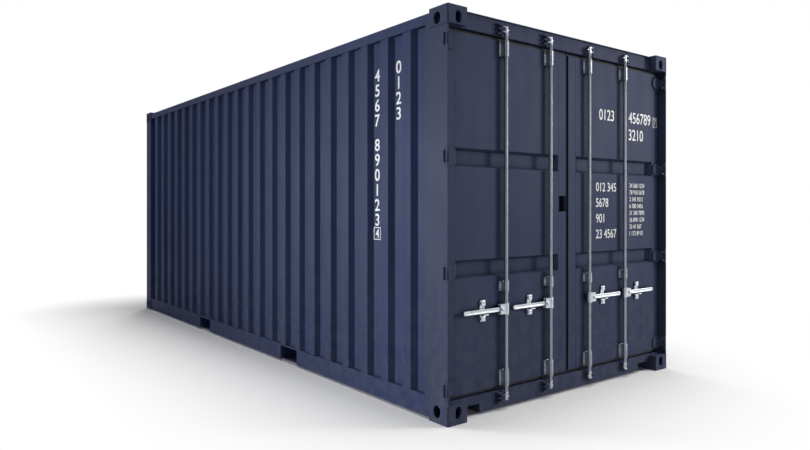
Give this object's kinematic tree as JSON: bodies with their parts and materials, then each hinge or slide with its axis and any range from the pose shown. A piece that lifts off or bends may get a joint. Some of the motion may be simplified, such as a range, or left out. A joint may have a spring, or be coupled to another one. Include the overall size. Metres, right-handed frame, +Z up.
{
  "type": "shipping container",
  "caption": "Steel dry-freight container with corrugated walls and roof, corner castings, fork pockets, a plywood floor and double end doors with locking bars and handles.",
  "frame": {"origin": "centre of the footprint, on the ground", "axes": "+X along the length towards the door end, +Y across towards the right-hand door as seen from outside, +Z up"},
  "size_m": [6.058, 2.438, 2.591],
  "materials": {
    "navy_paint": "satin",
    "galvanised_steel": "dull galvanised",
    "bright_steel": "satin",
    "door_seal_rubber": "matt",
    "plywood": "sealed"
  },
  "bodies": {
    "container_body": {"bottom_side_rails": "navy_paint", "cam_keepers": "navy_paint", "corner_castings": "navy_paint", "cross_members": "navy_paint", "door_header": "navy_paint", "door_sill": "navy_paint", "floor": "plywood", "fork_pockets": "navy_paint", "front_bottom_rail": "navy_paint", "front_corner_posts": "navy_paint", "front_top_rail": "navy_paint", "front_wall": "navy_paint", "hinge_lugs": "navy_paint", "hinge_pins": "bright_steel", "left_side_wall": "navy_paint", "rear_corner_posts": "navy_paint", "right_side_wall": "navy_paint", "roof": "navy_paint", "top_side_rails": "navy_paint"},
    "left_door": {"left_bar_brackets": "galvanised_steel", "left_door_gasket": "door_seal_rubber", "left_door_panel": "navy_paint", "left_door_rails": "navy_paint", "left_door_stiles": "navy_paint", "left_handle_retainers": "galvanised_steel", "left_hinge_blades": "navy_paint"},
    "right_door": {"right_bar_brackets": "galvanised_steel", "right_door_gasket": "door_seal_rubber", "right_door_panel": "navy_paint", "right_door_rails": "navy_paint", "right_door_stiles": "navy_paint", "right_handle_retainers": "galvanised_steel", "right_hinge_blades": "navy_paint"},
    "left_inner_lock_bar": {"left_inner_bar": "galvanised_steel", "left_inner_bar_fittings": "galvanised_steel"},
    "left_inner_lock_handle": {"left_inner_handle": "galvanised_steel"},
    "left_outer_lock_bar": {"left_outer_bar": "galvanised_steel", "left_outer_bar_fittings": "galvanised_steel"},
    "left_outer_lock_handle": {"left_outer_handle": "galvanised_steel"},
    "right_inner_lock_bar": {"right_inner_bar": "galvanised_steel", "right_inner_bar_fittings": "galvanised_steel"},
    "right_inner_lock_handle": {"right_inner_handle": "galvanised_steel"},
    "right_outer_lock_bar": {"right_outer_bar": "galvanised_steel", "right_outer_bar_fittings": "galvanised_steel"},
    "right_outer_lock_handle": {"right_outer_handle": "galvanised_steel"}
  },
  "joints": [
    {"name": "left_door_hinge", "type": "hinge", "parent": "container_body", "child": "left_door", "pos_m": [3.018, -1.208, 0.212], "axis": [0, 0, -1], "range_deg": [0, 270]},
    {"name": "right_door_hinge", "type": "hinge", "parent": "container_body", "child": "right_door", "pos_m": [3.018, 1.208, 0.212], "axis": [0, 0, 1], "range_deg": [0, 270]},
    {"name": "left_inner_bar_turn", "type": "hinge", "parent": "left_door", "child": "left_inner_lock_bar", "pos_m": [2.995, -0.221, 0.671], "axis": [0, 0, -1], "range_deg": [-110, 0]},
    {"name": "left_inner_handle_lift", "type": "hinge", "parent": "left_inner_lock_bar", "child": "left_inner_lock_handle", "pos_m": [2.995, -0.267, 0.671], "axis": [-1, 0, 0], "range_deg": [0, 35]},
    {"name": "left_outer_bar_turn", "type": "hinge", "parent": "left_door", "child": "left_outer_lock_bar", "pos_m": [2.995, -0.672, 0.671], "axis": [0, 0, -1], "range_deg": [-110, 0]},
    {"name": "left_outer_handle_lift", "type": "hinge", "parent": "left_outer_lock_bar", "child": "left_outer_lock_handle", "pos_m": [2.995, -0.718, 0.671], "axis": [-1, 0, 0], "range_deg": [0, 35]},
    {"name": "right_inner_bar_turn", "type": "hinge", "parent": "right_door", "child": "right_inner_lock_bar", "pos_m": [2.995, 0.221, 0.671], "axis": [0, 0, 1], "range_deg": [-110, 0]},
    {"name": "right_inner_handle_lift", "type": "hinge", "parent": "right_inner_lock_bar", "child": "right_inner_lock_handle", "pos_m": [2.995, 0.267, 0.671], "axis": [1, 0, 0], "range_deg": [0, 35]},
    {"name": "right_outer_bar_turn", "type": "hinge", "parent": "right_door", "child": "right_outer_lock_bar", "pos_m": [2.995, 0.672, 0.671], "axis": [0, 0, 1], "range_deg": [-110, 0]},
    {"name": "right_outer_handle_lift", "type": "hinge", "parent": "right_outer_lock_bar", "child": "right_outer_lock_handle", "pos_m": [2.995, 0.718, 0.671], "axis": [1, 0, 0], "range_deg": [0, 35]}
  ]
}
